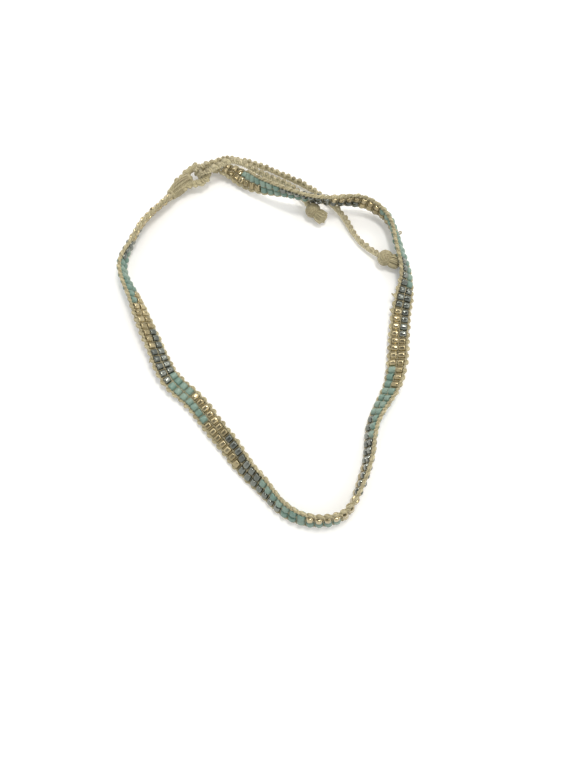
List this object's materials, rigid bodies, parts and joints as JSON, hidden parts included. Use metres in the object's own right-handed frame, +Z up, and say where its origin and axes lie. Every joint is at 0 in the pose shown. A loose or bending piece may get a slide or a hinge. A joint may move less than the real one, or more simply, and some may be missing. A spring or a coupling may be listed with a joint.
{
  "type": "beaded anklet",
  "caption": "Woven band of seed beads between knotted thread edges, with an eye loop at one end and two braided tie tails with ball knots at the other.",
  "frame": {"origin": "middle of the closed band's outline, on the surface that it lies on", "axes": "+Z up from the surface, +Y along the loop's longer way towards the closure, +X to the right of that, towards the side where the tails lie"},
  "size_m": [0.0779, 0.1037, 0.0077],
  "materials": {
    "gold_bead": "metallic pale gold coating on opaque glass",
    "hematite_bead": "metallic dark grey glass",
    "turquoise_bead": "opaque glossy glass",
    "olive_thread": "waxed knotted thread",
    "light_thread": "waxed twisted thread"
  },
  "bodies": {
    "root": {"ball_knot_a": "olive_thread", "ball_knot_b": "olive_thread", "beads_a_01_gold": "gold_bead", "beads_a_02_hematite": "hematite_bead", "beads_a_03_turquoise": "turquoise_bead", "beads_a_04_gold": "gold_bead", "beads_a_05_hematite": "hematite_bead", "beads_a_06_turquoise": "turquoise_bead", "beads_a_07_gold": "gold_bead", "beads_a_08_hematite": "hematite_bead", "beads_a_09_turquoise": "turquoise_bead", "beads_a_10_gold": "gold_bead", "beads_a_11_hematite": "hematite_bead", "beads_a_12_turquoise": "turquoise_bead", "beads_a_13_gold": "gold_bead", "beads_a_14_hematite": "hematite_bead", "beads_a_15_turquoise": "turquoise_bead", "beads_a_16_gold": "gold_bead", "beads_a_17_hematite": "hematite_bead", "beads_a_18_turquoise": "turquoise_bead", "beads_a_19_gold": "gold_bead", "beads_b_01_gold": "gold_bead", "beads_b_02_hematite": "hematite_bead", "beads_b_03_turquoise": "turquoise_bead", "beads_b_04_gold": "gold_bead", "beads_b_05_hematite": "hematite_bead", "beads_b_06_turquoise": "turquoise_bead", "beads_b_07_gold": "gold_bead", "beads_b_08_hematite": "hematite_bead", "beads_b_09_turquoise": "turquoise_bead", "beads_b_10_gold": "gold_bead", "beads_b_11_hematite": "hematite_bead", "beads_b_12_turquoise": "turquoise_bead", "beads_b_13_gold": "gold_bead", "beads_b_14_hematite": "hematite_bead", "beads_b_15_turquoise": "turquoise_bead", "beads_b_16_gold": "gold_bead", "beads_b_17_hematite": "hematite_bead", "beads_b_18_turquoise": "turquoise_bead", "beads_b_19_gold": "gold_bead", "centre_cord": "light_thread", "edge_cord_a": "olive_thread", "edge_cord_b": "olive_thread", "eye_loop": "olive_thread", "loop_whipping": "olive_thread", "tail_whipping": "olive_thread", "tie_tail_a": "olive_thread", "tie_tail_b": "olive_thread"}
  },
  "joints": []
}
